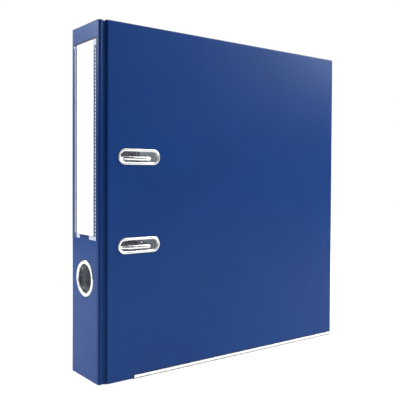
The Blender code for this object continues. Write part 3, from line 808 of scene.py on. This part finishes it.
def hinge_foil(name, flip):
    """The foil hinge: one soft-edged band from the spine to the cover.

    Its top is drawn down over the groove, and both ends are drawn in at the spine's edge.
    """
    rings = []
    for a, b in zip(*hinge_lines()):
        half = (b - a).length / 2
        middle = (a + b) / 2
        across = (b - a) / (2 * half)
        groove = max(0.0, 1.0 - abs(a.x - GROOVE_X) / GROOVE_HALF)
        corner = 0.0 if flip else max(0.0, min(1.0, (4.2 - a.y) / 2.0, (7.9 - a.x) / 2.0))
        dip = max(HINGE_DIP * groove * groove * (3 - 2 * groove), SPINE_INSET + 0.5 * corner)
        lift = SPINE_INSET + 0.6 * max(0.0, min(corner, (5.2 - a.x) / 2.0))
        if a.x > 6.5:
            dip = lift = 0.0
        ends = (FOOT + lift, HEIGHT - dip)
        outline = rounded_rectangle((-half, half), ends, min(0.7, half * 0.98), 6)
        rings.append(section(middle, across, outline, flip))
    return loft(name, rings, CORNER_LOOK if flip else HINGE_LOOK, 50.0)


def hinge_lining(name, flip):
    """The lining paper that covers the hinge on the inside."""
    inner = hinge_lines()[1]
    start, end = inner[0], inner[-1]
    line = [Vector((start.x, start.y + 1.2))] + inner + [Vector((end.x + 1.2, end.y + 0.08))]
    line = resampled(line, 48)
    low, high = FOOT + TURN_IN + 0.3, HEIGHT - TURN_IN - 0.3
    outline = ((0.02, low), (0.16, low), (0.16, high), (0.02, high))
    rings = []
    for i, point in enumerate(line):
        along = (line[min(i + 1, len(line) - 1)] - line[max(i - 1, 0)]).normalized()
        normal = Vector((-along.y, along.x))
        if normal.dot(Vector((1.0, 1.0))) < 0:
            normal = -normal
        rings.append(section(point, normal, outline, flip))
    return loft(name, rings, DIM_LINING_LOOK, 50.0)


def build_hinges():
    for side, other, flip in (("front", "front_cover", False), ("back", "back_cover", True)):
        foil = hinge_foil(f"{side}_hinge_foil", flip)
        lining = hinge_lining(f"{side}_hinge_lining", flip)
        for piece in (foil, lining):
            declare(piece, f"{side}_hinge_strip")
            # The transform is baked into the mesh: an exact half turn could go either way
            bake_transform(piece)


def dress(node, look):
    """A carried-over CAD node gets its procedural look."""
    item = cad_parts[node]
    item.data.materials.clear()
    item.data.materials.append(look)
    declare(item)


def build_panels():
    for side, flip, look in (("front", False, FOIL_LOOK), ("back", True, BACK_LOOK)):
        body = f"{side}_cover"
        keep(cover_foil(f"{body}_foil", flip, look), body, f"{side}_outer_foil")
        keep(cover_board(f"{body}_board", flip), body, f"{side}_board")
    keep(spine_foil(), "spine", "spine_outer_foil")
    build_hinges()
    dress("spine_board", BOARD_LOOK)
    dress("front_inner_lining", DIM_LINING_LOOK)
    dress("back_inner_lining", BRIGHT_BACK_LINING_LOOK)
    dress("spine_inner_lining", DIM_LINING_LOOK)


def edge_protector(name, node, flip):
    """A thin metal U pressed over a cover's bottom edge, its free edges turned slightly in."""
    low, high = node_span(node)
    near = -0.1 - STRIP_SHEET / 2
    bend, bend_z = 0.75, 0.93
    path = [(near + 0.06, STRIP_TOP), (near, 3.3), (near, 0.9)]
    path += arc((near + bend, bend_z), bend, 180, 270, 7)[1:]
    path += [(PANEL - a, z) for a, z in path[::-1]]
    outline = [(on_side(y, flip), z) for y, z in ribbon(path, STRIP_SHEET)]
    strip = prism(name, outline, "X", low.x, high.x, STRIP_LOOK)
    return settle(bevel(strip, 0.1, 2), 40.0)


def slot_eyelet(name, centre):
    """Slot liner: a rolled flange outside, a barrel through the cover and a curl inside."""
    flange = (
        (4.72, 0.9), (4.74, 0.35), (4.9, -0.12), (5.3, -0.45), (5.9, -0.62), (6.55, -0.6),
        (7.02, -0.4), (7.22, -0.02),
    )
    barrel = [(7.12, 0.0), (5.5, 0.0), (5.2, 0.25), (5.2, 2.86)]
    curl = ((6.3, 2.86), (6.5, 3.1), (6.4, 3.42), (5.9, 3.6), (5.3, 3.6), (4.9, 3.35), (4.72, 2.9))
    profile = curve_through(flange, 5) + barrel + curve_through(curl, 4)
    return collar(name, profile, "Y", centre, SLOT_HALF_STRAIGHT, RIM_LOOK, 36)


def finger_ring():
    rim = (
        (13.0, 1.3), (13.02, 0.55), (13.2, -0.1), (13.75, -0.68), (14.8, -0.94), (15.75, -0.72),
        (16.3, -0.3), (16.42, 0.0),
    )
    barrel = [(16.3, 0.02), (13.6, 0.02), (13.45, 0.3), (13.45, 3.95), (13.1, 3.95)]
    profile = curve_through(rim, 5) + barrel
    return collar("finger_ring_rim", profile, "X", (SPINE_MIDDLE_Y, RING_Z), 0.0, RING_LOOK, 48)


def ring_washer():
    crown = ((16.3, 3.3), (15.9, 3.55), (15.2, 3.72), (14.4, 3.74), (13.95, 3.6), (13.7, 3.3))
    profile = [(13.7, 2.95), (16.3, 2.95)] + curve_through(crown, 3)
    return collar("finger_ring_back", profile, "X", (SPINE_MIDDLE_Y, RING_Z), 0.0, NICKEL_LOOK, 48)


# ---------------------------------------------------------------- label pocket


def film_height(y, z):
    """How far the film stands off the spine: flat where it is welded, raised over the card."""
    inside = min(y - WELD_WIDTH, THICKNESS - WELD_WIDTH - y, z - POCKET_BOTTOM - FOOT_WELD)
    share = max(0.0, min(1.0, inside / FILM_RISE))
    lift = share * share * (3 - 2 * share)
    wave = noise.noise(Vector((y * 0.09, z * 0.035, 3.0))) * 0.07 * lift
    return FILM_FLAT + (FILM_RAISED - FILM_FLAT) * lift - abs(wave)


def add_sheet(bm, ys, zs, front, back):
    """A closed sheet over a grid, between two distances from the film's outer face."""
    faces = []
    for gap in (front, back):
        rows = [[bm.verts.new((-film_height(y, z) + gap, y, z)) for y in ys] for z in zs]
        for a, b in zip(rows, rows[1:]):
            for j in range(len(ys) - 1):
                bm.faces.new((a[j], a[j + 1], b[j + 1], b[j]))
        faces.append(rows)
    top, under = faces
    rim = [(r, 0) for r in range(len(zs))] + [(len(zs) - 1, c) for c in range(1, len(ys))]
    rim += [(r, len(ys) - 1) for r in range(len(zs) - 2, -1, -1)]
    rim += [(0, c) for c in range(len(ys) - 2, 0, -1)]
    for (r, c), (q, d) in zip(rim, rim[1:] + rim[:1]):
        bm.faces.new((top[r][c], top[q][d], under[q][d], under[r][c]))


def pocket_film():
    """Clear film, flat where it is welded and raised over the card, open at its top."""
    low, high = node_span("label_pocket")
    ys = [low.y, 4.5, 5.2, 6.2, 7.2, 8.2, 8.6, 8.9, 9.2, 9.5, 9.9, 10.6]
    ys += [12.0 + 2.0 * i for i in range(16)] + [THICKNESS - y for y in ys]
    ys = sorted(set(round(y, 3) for y in ys))
    zs = [low.z + up for up in (0.0, 1.5, 3.2, 3.8, 4.1, 4.4, 4.8, 5.5)]
    zs += [high.z - 169.0 + 13.0 * i for i in range(14)]
    zs = sorted(set(round(z, 3) for z in zs if z <= high.z + 0.001))
    bm = bmesh.new()
    add_sheet(bm, ys, zs, 0.0, 0.22)
    film = make("label_pocket_film", bm, FILM_LOOK, 60.0)
    half = [(10.2, -2.0), (8.7, 2.4)] + [(8.2 - 0.4 * i, 3.0 + 0.2 * i) for i in range(3)]
    notch = [(SPINE_MIDDLE_Y + y, low.z + up) for y, up in [(-10.2, -2.0)] + half]
    notch += [(2 * SPINE_MIDDLE_Y - y, z) for y, z in notch[:1:-1]]
    cut(film, prism("notch", notch, "X", -2.0, 1.0))
    shade(film.data, 60.0)
    return film


def paper_label():
    """The card in the pocket, pushed over to the front side."""
    sheet = block("label_paper", (-0.45, 9.3, 131.0), (-0.12, 42.9, 303.1), CARD_LOOK)
    return settle(bevel(sheet, 0.08, 2, 40.0))


def weld_dash(bm, y, z, half_y, half_z, height):
    """A small raised pad on the film, with softened edges."""
    rings = []
    for inset, up in ((0.0, 0.0), (0.05, 0.6), (0.2, 1.0)):
        a_range = (-half_y + inset, half_y - inset)
        b_range = (-half_z + inset, half_z - inset)
        radius = max(min(half_y, half_z) - inset - 0.02, 0.03)
        outline = rounded_rectangle(a_range, b_range, radius, 3)
        rings.append([(-0.37 - height * up, y + a, z + b) for a, b in outline])
    skin(bm, rings)


def weld_and_glare_patches():
    """Light patches of film, pressed ones and a painted highlight at its top front corner, dashes
    along its front side and two weld spots at its foot.
    """
    low, high = node_span("label_pocket")
    bm = bmesh.new()
    patches = (
        ((44.6, 46.9), (low.z + 4.4, high.z - 3.4)),
        # Painted highlight: glare on the film's top front corner
        ((4.3, FRONT_SEAM), (high.z - 6.0, high.z - 0.4)),
        ((45.9, 48.6), (high.z - 3.0, high.z - 0.4)),
        ((8.8, 17.6), (low.z + 0.4, low.z + 3.6)),
        ((4.5, 8.2), (low.z + 0.4, low.z + 4.0)),
        ((36.4, 43.0), (low.z + 0.4, low.z + 3.6)),
    )
    for (y_low, y_high), (z_low, z_high) in patches:
        rows = max(1, round((z_high - z_low) / 13.0))
        zs = [z_low + (z_high - z_low) * i / rows for i in range(rows + 1)]
        ys = [y_low + (y_high - y_low) * i / 6 for i in range(7)]
        add_sheet(bm, ys, zs, -0.05, -0.01)
    z = low.z + 6.0
    while z < high.z - 7.0:
        weld_dash(bm, 5.8, z, 1.05, 1.1, 0.13)
        z += WELD_PITCH
    for y in (13.6, THICKNESS - 14.2):
        weld_dash(bm, y, low.z + 2.0, 1.3, 1.0, 0.16)
    return make("label_pocket_welds_and_glare", bm, WELD_AND_GLARE_LOOK, 50.0)


# ---------------------------------------------------------------- mechanism


def arch_wire():
    """Both arches in one wire, with a crank between them for the lever's roller."""
    axis_y = rise(AXIS_RISE)
    bar_y, tip_y = 0.4, 16.7
    crank_x, crank_low, crank_high = 30.5, 134.0, 156.0
    (_, low), (_, high) = POSTS
    corners = [
        ((POST_X, tip_y, low), 0.0),
        ((POST_X, bar_y, low), 4.5),
        ((AXIS_X, bar_y, low), 12.0),
        ((AXIS_X, axis_y, low), 5.0),
        ((AXIS_X, axis_y, crank_low), 3.5),
        ((crank_x, axis_y, crank_low), 3.5),
        ((crank_x, axis_y, crank_high), 3.5),
        ((AXIS_X, axis_y, crank_high), 3.5),
        ((AXIS_X, axis_y, high), 5.0),
        ((AXIS_X, bar_y, high), 12.0),
        ((POST_X, bar_y, high), 4.5),
        ((POST_X, tip_y, high), 0.0),
    ]
    return tube("arch_wire_bent", filleted(corners, 12), WIRE_RADIUS, CHROME_LOOK, 28)


def post(name, centre):
    """A straight post with a collar at its foot and a hollowed tip that takes the arch's end."""
    profile = (
        (0.0, 0.15), (POST_RADIUS, 0.15), (POST_RADIUS, 1.2), (3.4, 1.2), (3.6, 1.4), (3.6, 2.2),
        (3.4, 2.45), (2.6, 2.65), (POST_RADIUS, 3.0), (POST_RADIUS, 33.7), (2.15, 34.0),
        (1.9, 34.2), (1.6, 34.1), (1.1, 33.6), (0.5, 33.3), (0.0, 33.2),
    )
    return turned(name, raised(profile), "Y", centre, NICKEL_LOOK, 40)


def mechanism_rivet(name, centre):
    """A domed head on the plate, and a low one on the back cover's outer face."""
    head = ((0.0, 2.15), (1.2, 2.08), (2.4, 1.85), (3.2, 1.5), (3.45, 1.2))
    tail = ((4.2, 0.22), (3.8, 0.52), (2.8, 0.76), (1.4, 0.88), (0.0, 0.9))
    profile = curve_through(raised(head), 4)
    profile += [(1.8, rise(1.2)), (1.8, THICKNESS + 0.1), (4.2, THICKNESS + 0.1)]
    profile += curve_through([(radius, THICKNESS + height) for radius, height in tail], 4)
    return turned(name, profile, "Y", centre, NICKEL_LOOK, 36)


def plate_bead(x, radius, height):
    """A raised bead in the plate's sheet metal: a long low dome with round ends, along Z."""
    base = 1.05
    rings = []
    for i in range(7):
        angle = math.radians(90 * i / 6)
        outline = stadium(radius * math.cos(angle) + 0.15, 62.0, 12)
        y = rise(base + height * math.sin(angle))
        rings.append([(x + b, y, ARCH_Z + a) for a, b in outline])
    foot = [(x, rise(base - 0.4), z) for x, _, z in rings[0]]
    return loft("bead", [foot] + rings, PLATE_LOOK, 40.0)


def base_plate():
    outline = rounded_rectangle((13.0, 71.0), (75.9, 243.9), 8.0, 12)
    plate = prism("mechanism_plate", outline, "Y", rise(1.1), rise(0.1), PLATE_LOOK)
    settle(bevel(plate, 0.3), even=False)
    cut(plate, plate_bead(44.0, 1.9, 0.6), plate_bead(66.2, 1.5, 0.5), operation="UNION")
    through = (rise(3.0), rise(-3.0))
    cut(
        plate,
        cutter(POSTS, POST_RADIUS + 0.12, "Y", through),
        cutter(RIVETS, RIVET_HOLE, "Y", through),
        cutter([(30.0, 98.0), (30.0, 222.0)], 2.6, "Y", through),
    )
    return settle(plate)


def bearing_clip(name, z):
    """A strap bent over the arch wire, with a foot on each side."""
    sheet, half_width = 0.9, 2.4
    radius = WIRE_RADIUS + 0.25 + 0.5
    foot = 1.2 + 0.5
    side = AXIS_X - radius
    path = [(side - 4.0, foot), (side - 0.6, foot), (side, foot + 0.6)]
    path += arc((AXIS_X, AXIS_RISE), radius, 180, 0, 16)
    path += [(2 * AXIS_X - x, height) for x, height in path[2::-1]]
    clip = prism(name, raised(ribbon(path, sheet)), "Z", z - half_width, z + half_width, NICKEL_LOOK)
    return settle(bevel(clip, 0.2), 30.0)


def lever_hole(radius):
    """A cutter along the lever's pivot."""
    return cutter([(rise(LEVER_RISE), LEVER_Z)], radius, "X", (20.0, 41.0), 16)


def lever_bracket():
    """Two ears with rounded tops on one base, bent from a strip."""
    corners = [((23.9, 19.4), 0.0), ((23.9, 1.75), 1.2), ((37.1, 1.75), 1.2), ((37.1, 19.4), 0.0)]
    path = filleted([((x, height, 0.0), bend) for (x, height), bend in corners], 6)
    outline = raised(ribbon([p.xy for p in path], 1.0))
    bracket = prism("lever_bracket_ears", outline, "Z", 137.2, 145.8, NICKEL_LOOK)
    hole = lever_hole(1.6)
    rounding = []
    for sign in (-1, 1):
        corner = [(rise(19.6), LEVER_Z + sign * 4.4), (rise(16.2), LEVER_Z + sign * 4.4)]
        corner += [
            (rise(LEVER_RISE + 4.0 * math.sin(a)), LEVER_Z + sign * 4.32 * math.cos(a))
            for a in (math.radians(5 + 80 * i / 8) for i in range(9))
        ]
        corner += [(rise(20.4), LEVER_Z + sign * 0.2), (rise(20.4), LEVER_Z + sign * 4.4)]
        rounding.append(prism(f"rounding{sign}", corner, "X", 20.0, 41.0))
    cut(bracket, hole, *rounding)
    return settle(bevel(bracket, 0.15, 2), 30.0)


def lever_pivot_pin():
    profile = (
        (0.0, 22.4), (1.6, 22.4), (2.1, 22.5), (2.4, 22.8), (2.4, 23.2), (1.5, 23.25), (1.5, 37.75),
        (2.4, 37.8), (2.4, 38.2), (2.1, 38.5), (1.6, 38.6), (0.0, 38.6),
    )
    return turned("lever_pin", profile, "X", (rise(LEVER_RISE), LEVER_Z), STEEL_LOOK, 32)


def opening_spring():
    """Four turns and a bit round the arch wire, with a leg at each end."""
    radius, pitch, start_z = 2.75, 1.15, 170.0
    steps = 24
    path = [Vector((14.6, rise(AXIS_RISE - radius), start_z))]
    for i in range(4 * steps + 14):
        angle = -math.pi / 2 + math.tau * i / steps
        y = rise(AXIS_RISE + radius * math.sin(angle))
        path.append(Vector((AXIS_X + radius * math.cos(angle), y, start_z + pitch * i / steps)))
    last = path[-1]
    path += [Vector((17.6, last.y + 0.3, last.z)), Vector((14.2, rise(2.2), last.z))]
    return tube("arch_spring", path, 0.45, STEEL_LOOK, 12)


def lever_arm():
    """The lever: a channel with two cheeks, a thumb plate and the roller's lobe."""

    def at_pivot(points):
        return [(rise(LEVER_RISE + h), LEVER_Z + z) for z, h in points]

    top = ((-4.2, 1.0), (-4.0, 3.0), (-3.0, 4.6), (-1.5, 5.0))
    under = (
        (14.0, -1.5), (9.6, -4.6), (8.4, -7.4), (6.0, -9.1), (3.6, -8.6), (1.2, -6.2), (-1.2, -3.8),
        (-3.6, -2.2), (-4.2, 1.0),
    )
    sides = curve_through(top, 4) + [(40.0, 5.0), (40.0, 3.0)] + curve_through(under, 5)[:-1]
    lever = prism("lever_channel_arm", at_pivot(sides), "X", 25.0, 36.0, NICKEL_LOOK)
    hollow = ((-8.0, 4.0), (44.0, 4.0), (44.0, -14.0), (-8.0, -14.0))
    channel = prism("channel", at_pivot(hollow), "X", 26.0, 35.0)
    thumb_path = curve_through(((36.0, 4.5), (44.0, 4.5), (46.2, 4.7), (48.2, 5.4), (49.6, 6.8)), 4)
    thumb = prism("thumb", at_pivot(ribbon(thumb_path, 0.9)), "X", 21.5, 39.5)
    settle(bevel(thumb, 0.3), even=False)
    cut(lever, channel)
    settle(bevel(lever, 0.25, 2), even=False)
    cut(lever, thumb, operation="UNION")
    axle_hole = cutter([(rise(ROLLER_RISE), ROLLER_Z)], 1.25, "X", (20.0, 41.0), 16)
    cut(lever, lever_hole(1.8), axle_hole)
    return settle(lever, 30.0)


def cam_roller():
    profile = (
        (1.3, 26.8), (2.6, 26.8), (2.85, 26.9), (3.0, 27.2), (3.0, 33.8), (2.85, 34.1), (2.6, 34.2),
        (1.3, 34.2),
    )
    return collar("lever_roller", profile, "X", (rise(ROLLER_RISE), ROLLER_Z), 0.0, STEEL_LOOK, 20)


def roller_axle():
    profile = ((0.0, 25.05), (0.9, 25.05), (1.1, 25.2), (1.1, 35.8), (0.9, 35.95), (0.0, 35.95))
    return turned("lever_roller_axle", profile, "X", (rise(ROLLER_RISE), ROLLER_Z), STEEL_LOOK, 24)


def compressor_holes():
    """Cutters for the two posts and for the latch's rivet."""
    through = (rise(25), rise(5))
    return (
        cutter(POSTS, POST_RADIUS + 0.5, "Y", through),
        cutter([LATCH_RIVET], 1.25, "Y", through, 12),
    )


def compressor_bar():
    """A pressed bar, hollow on the side that faces the plate."""
    x_low, x_high, z_low, z_high = POST_X - 7.0, POST_X + 7.0, 107.0, 213.0
    outline = rounded_rectangle((x_low, x_high), (z_low, z_high), 5.0, 12)
    bar = prism("sheet_compressor", outline, "Y", rise(14.0), rise(10.5), NICKEL_LOOK)
    settle(bevel(bar, 0.7, 4), even=False)
    inner = rounded_rectangle((x_low + 1.0, x_high - 1.0), (z_low + 1.0, z_high - 1.0), 4.0, 12)
    cut(bar, prism("hollow", inner, "Y", rise(13.0), rise(9.0)), *compressor_holes())
    return settle(bar, 30.0)


def compressor_latch():
    """A leaf that lies on the bar, with its upper end turned up as a grip."""
    points = ((187.0, 14.5), (200.0, 14.5), (213.0, 14.5), (216.0, 14.9), (218.0, 16.2), (219.3, 19.3))
    outline = [(rise(height), z) for z, height in ribbon(curve_through(points, 6), 0.7)]
    latch = prism("compressor_latch_leaf", outline, "X", POST_X - 4.8, POST_X + 4.8, STEEL_LOOK)
    cut(latch, *compressor_holes())
    return settle(bevel(latch, 0.12, 2), 30.0)


def latch_rivet():
    profile = curve_through(raised(((0.0, 15.85), (1.0, 15.75), (1.8, 15.4), (2.2, 14.9))), 4)
    profile += raised(((1.1, 14.9), (1.1, 12.9), (2.2, 12.9), (1.6, 12.3), (0.0, 12.2)))
    return turned("compressor_rivet", profile, "Y", LATCH_RIVET, STEEL_LOOK, 28)


def build_fittings():
    for side, flip in (("front", False), ("back", True)):
        node = f"{side}_edge_protector"
        keep(edge_protector(f"{side}_edge_strip", node, flip), f"{side}_cover", node)
    for side, centre in zip(("upper", "lower"), SLOTS[::-1]):
        keep(slot_eyelet(f"{side}_slot_liner", centre), "front_cover", f"{side}_slot_eyelet")
    keep(finger_ring(), "spine", "finger_ring")
    keep(ring_washer(), "spine", "finger_ring_washer")
    keep(pocket_film(), "spine", "label_pocket")
    keep(paper_label(), "label", "label_card")
    keep(weld_and_glare_patches(), "spine")


def build_mechanism():
    keep(base_plate(), "back_cover", "base_plate")
    for side, centre in zip(("lower", "upper"), POSTS):
        keep(post(f"{side}_straight_post", centre), "back_cover", f"{side}_post")
    for i, centre in enumerate(RIVETS, start=1):
        keep(mechanism_rivet(f"plate_rivet_{i}", centre), "back_cover", f"mechanism_rivet_{i}")
    for name, z in CLIPS:
        keep(bearing_clip(f"{name}_wire_clip", z), "back_cover", f"{name}_bearing_clip")
    keep(lever_bracket(), "back_cover", "lever_bracket")
    keep(lever_pivot_pin(), "back_cover", "lever_pivot_pin")
    keep(opening_spring(), "back_cover", "opening_spring")
    keep(arch_wire(), "arches", "arch_wire")
    keep(lever_arm(), "lever", "lever_arm")
    keep(roller_axle(), "lever", "roller_axle")
    keep(cam_roller(), "roller", "cam_roller")
    keep(compressor_bar(), "compressor", "compressor_bar")
    keep(compressor_latch(), "compressor", "compressor_latch")
    keep(latch_rivet(), "compressor", "latch_rivet")


# ---------------------------------------------------------------- studio

CAMERA_AT = (-240.5, -471.4, 183.1)
CAMERA_YAW, CAMERA_PITCH, CAMERA_ROLL = 37.45, -1.2, 0.287
LENS = 54.19
LENS_SHIFT = (-0.0236, -0.0248)
# In the frame's own coordinates, metres
FILE_MIDDLE = Vector((0.0, 0.0, 0.16))


def add_camera():
    yaw, pitch, roll = (math.radians(a) for a in (CAMERA_YAW, CAMERA_PITCH, CAMERA_ROLL))
    right = Vector((math.cos(yaw), -math.sin(yaw), 0.0))
    ahead = Vector((math.sin(yaw) * math.cos(pitch), math.cos(yaw) * math.cos(pitch), math.sin(pitch)))
    up = right.cross(ahead)
    across = right * math.cos(roll) + up * math.sin(roll)
    above = up * math.cos(roll) - right * math.sin(roll)
    data = bpy.data.cameras.new("studio_camera")
    data.sensor_width = 36.0
    data.lens = LENS
    data.shift_x, data.shift_y = LENS_SHIFT
    camera = add_object("studio_camera", data)
    turn = Matrix((across, above, -ahead)).transposed().to_4x4()
    camera.matrix_world = Matrix.Translation(in_frame(CAMERA_AT)) @ turn
    bpy.context.scene.camera = camera


def softbox(name, bearing, elevation, distance, size, radiance):
    """A rectangular soft light that faces the file, set by how bright its face is.

    The bearing is anticlockwise from +X. It and the elevation are in degrees.
    """
    b, e = math.radians(bearing), math.radians(elevation)
    away = Vector((math.cos(b) * math.cos(e), math.sin(b) * math.cos(e), math.sin(e))) * distance
    data = bpy.data.lights.new(name, "AREA")
    data.shape = "RECTANGLE"
    data.size, data.size_y = size
    data.energy = radiance * math.pi * size[0] * size[1]
    light = add_object(name, data)
    light.location = FILE_MIDDLE + away
    light.rotation_mode = "QUATERNION"
    light.rotation_quaternion = (-away).to_track_quat("-Z", "Y")


def add_world():
    """White to the camera; as light, dim all round and brighter overhead."""
    world = bpy.data.worlds.new("studio")
    bpy.context.scene.world = world
    world.use_nodes = True
    tree = Nodes(world.node_tree)
    direction = tree.add("TexCoord").outputs["Generated"]
    up = tree.add("SeparateXYZ", {0: direction}).outputs["Z"]
    ramp = tree.add("ValToRGB", {0: up})
    ramp.color_ramp.interpolation = "EASE"
    for element, position, grey in zip(ramp.color_ramp.elements, (0.10, 0.85), (0.02, 0.15)):
        element.position = position
        element.color = (grey, grey, grey, 1.0)
    seen = tree.add("LightPath").outputs["Is Camera Ray"]
    colour = tree.blend(seen, ramp.outputs["Color"], (1.0, 1.0, 1.0))
    background = tree.nodes["Background"]
    tree.links.new(colour, background.inputs["Color"])
    background.inputs["Strength"].default_value = 1.0


def add_floor():
    bm = bmesh.new()
    bmesh.ops.create_grid(bm, x_segments=8, y_segments=8, size=1.2)
    mesh = bpy.data.meshes.new("floor")
    bm.to_mesh(mesh)
    bm.free()
    mesh.materials.append(floor_material())
    add_object("floor", mesh)


build_panels()
build_fittings()
build_mechanism()
add_floor()
softbox("right", -20.0, 37.0, 1.4, (0.8, 1.03), 18.4)
softbox("left", 139.0, 30.0, 1.9, (1.1, 1.0), 12.0)
softbox("overhead", 20.0, 72.0, 1.9, (0.9, 0.9), 6.0)
softbox("low_left", 172.0, 12.0, 1.9, (0.9, 0.9), 2.0)
add_world()
add_camera()
bpy.context.scene.view_settings.view_transform = "Standard"
